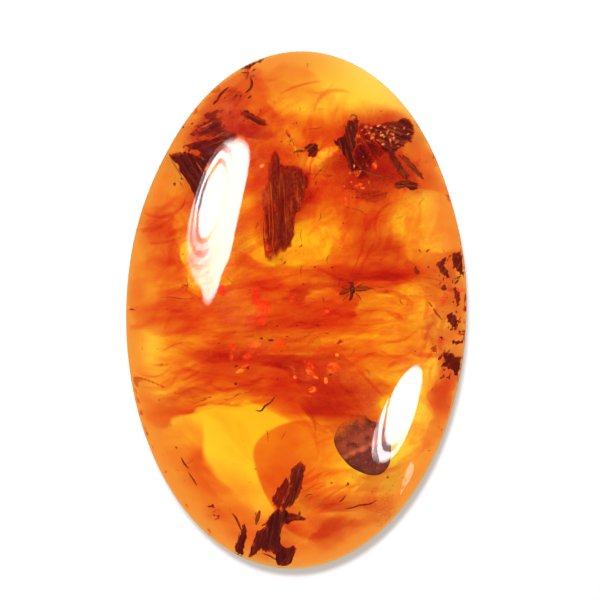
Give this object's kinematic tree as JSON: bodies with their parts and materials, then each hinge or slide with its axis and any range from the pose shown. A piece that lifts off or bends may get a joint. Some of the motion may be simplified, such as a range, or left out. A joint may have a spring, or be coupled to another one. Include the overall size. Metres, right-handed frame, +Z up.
{
  "type": "amber cabochon with inclusions",
  "caption": "Polished oval amber cabochon with a flat back and a domed top, honey to red-orange, with bark debris, flow bands and a tiny gnat sealed inside.",
  "frame": {"origin": "middle of the flat back, on the surface that the stone rests on", "axes": "+Y along the long way of the oval, +X across it, +Z up through the dome"},
  "size_m": [0.0236, 0.036, 0.008],
  "materials": {
    "amber": "polished, see-through, honey to red-orange"
  },
  "bodies": {
    "root": {"amber_cabochon": "amber"}
  },
  "joints": []
}
